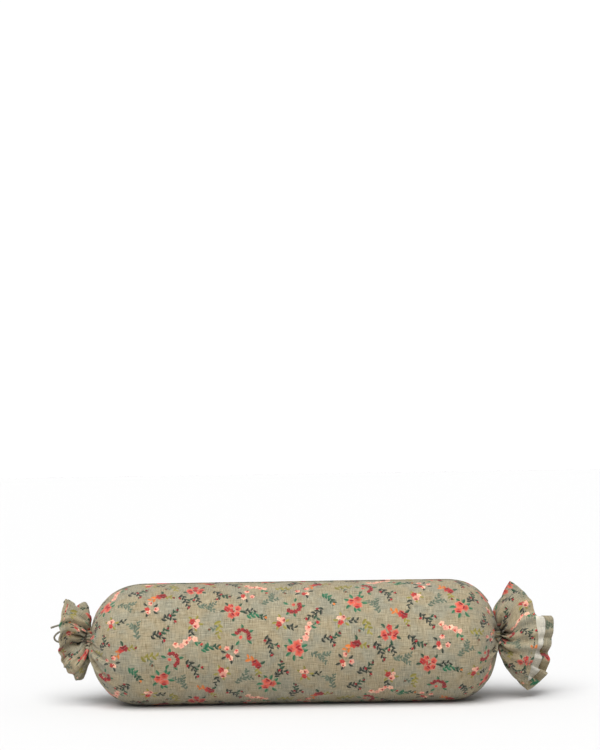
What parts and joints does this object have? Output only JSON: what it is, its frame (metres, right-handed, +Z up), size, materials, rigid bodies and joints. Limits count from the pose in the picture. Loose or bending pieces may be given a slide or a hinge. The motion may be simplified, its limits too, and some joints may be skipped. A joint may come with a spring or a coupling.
{
  "type": "bolster roll pillow",
  "caption": "Filled bolster roll in a printed linen cover, drawn in at both necks with cords so that its open ends flare into soft frills.",
  "frame": {"origin": "under the middle of the roll, on the flat that its weight presses into its underside", "axes": "+X along the roll towards the long frill, +Z up, +Y towards the closure at the back"},
  "size_m": [0.6308, 0.15, 0.1485],
  "materials": {
    "printed_linen": "matte woven linen, floral print",
    "cotton_lining": "matte plain weave",
    "cord_braid": "matte braided cord",
    "husk_filling": "loose dry husks and herbs",
    "label_tape": "smooth woven tape"
  },
  "bodies": {
    "bolster": {"cover_body": "printed_linen", "closure_flap": "printed_linen", "closure_underlap": "printed_linen", "insert_case": "cotton_lining", "insert_end_left": "cotton_lining", "insert_end_right": "cotton_lining", "insert_seams": "cotton_lining", "herb_filling": "husk_filling", "channel_tape_left": "cotton_lining", "channel_tape_right": "cotton_lining", "drawcord_left": "cord_braid", "drawcord_right": "cord_braid", "cord_knot_left": "cord_braid", "cord_knot_right": "cord_braid", "bow_loop_outer": "cord_braid", "bow_loop_lower": "cord_braid", "bow_tail_outer": "cord_braid", "bow_tail_lower": "cord_braid"},
    "frill_left": {"frill_left": "printed_linen", "hem_left": "printed_linen"},
    "frill_right": {"frill_right": "printed_linen", "hem_right": "printed_linen", "woven_label": "label_tape", "label_stitches": "cord_braid"}
  },
  "joints": [
    {"name": "frill_left_flop", "type": "hinge", "parent": "bolster", "child": "frill_left", "pos_m": [-0.256, 0, 0.0805], "axis": [0, 1, 0], "range_deg": [-20, 20], "stiffness_Nm_per_rad": 0.15},
    {"name": "frill_right_flop", "type": "hinge", "parent": "bolster", "child": "frill_right", "pos_m": [0.256, 0, 0.0785], "axis": [0, 1, 0], "range_deg": [-20, 20], "stiffness_Nm_per_rad": 0.25}
  ]
}
